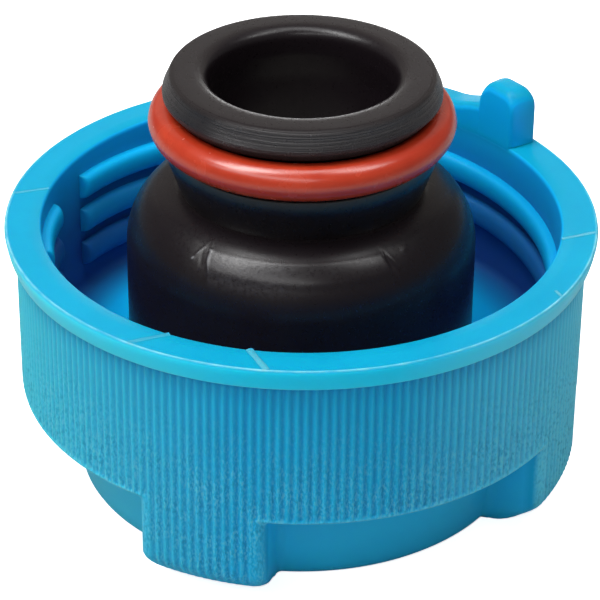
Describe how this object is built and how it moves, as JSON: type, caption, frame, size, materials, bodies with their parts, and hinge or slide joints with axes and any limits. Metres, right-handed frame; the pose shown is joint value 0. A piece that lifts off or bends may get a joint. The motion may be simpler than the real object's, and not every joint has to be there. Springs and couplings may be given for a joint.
{
  "type": "coolant reservoir cap",
  "caption": "Blue screw cap of a coolant expansion tank, upside down, with grip lobes, ribbed skirt, inner thread and a black pressure valve insert with a red O-ring.",
  "frame": {"origin": "middle of the crown's flat outer face, on which the cap lies upside down", "axes": "+Z along the cap's axis, from the crown to the neck of the insert; +X to the right in the picture; +Y away from the viewer in the picture"},
  "size_m": [0.066, 0.066, 0.049],
  "materials": {
    "blue_plastic": "moulded blue plastic, satin, slightly scuffed on the ribs",
    "black_plastic": "moulded black plastic, fine satin grain",
    "red_rubber": "smooth lubricated rubber",
    "dark_rubber": "matt moulded rubber",
    "pale_plastic": "natural low-friction plastic",
    "spring_steel": "bright drawn steel"
  },
  "bodies": {
    "cap": {"cap_shell": "blue_plastic"},
    "valve_insert": {"valve_housing": "black_plastic", "neck_o_ring": "red_rubber", "housing_cover": "black_plastic", "thrust_washer": "pale_plastic", "spring_seat": "spring_steel", "pressure_spring": "spring_steel"},
    "pressure_valve": {"pressure_valve_plate": "black_plastic", "pressure_seal": "dark_rubber", "seal_retainer": "spring_steel", "vacuum_spring": "spring_steel"},
    "vacuum_valve": {"vacuum_valve_stem": "pale_plastic", "vacuum_seal": "dark_rubber", "vacuum_spring_clip": "spring_steel"}
  },
  "joints": [
    {"name": "insert_swivel", "type": "hinge", "parent": "cap", "child": "valve_insert", "pos_m": [0, 0, 0.004], "axis": [0, 0, 1], "continuous": true},
    {"name": "pressure_valve_lift", "type": "slide", "parent": "valve_insert", "child": "pressure_valve", "axis": [0, 0, -1], "range_m": [0, 0.0025], "stiffness_N_per_m": 2000, "deforming": ["pressure_spring"]},
    {"name": "vacuum_valve_lift", "type": "slide", "parent": "pressure_valve", "child": "vacuum_valve", "axis": [0, 0, 1], "range_m": [0, 0.0012], "stiffness_N_per_m": 200, "deforming": ["vacuum_spring"]}
  ]
}
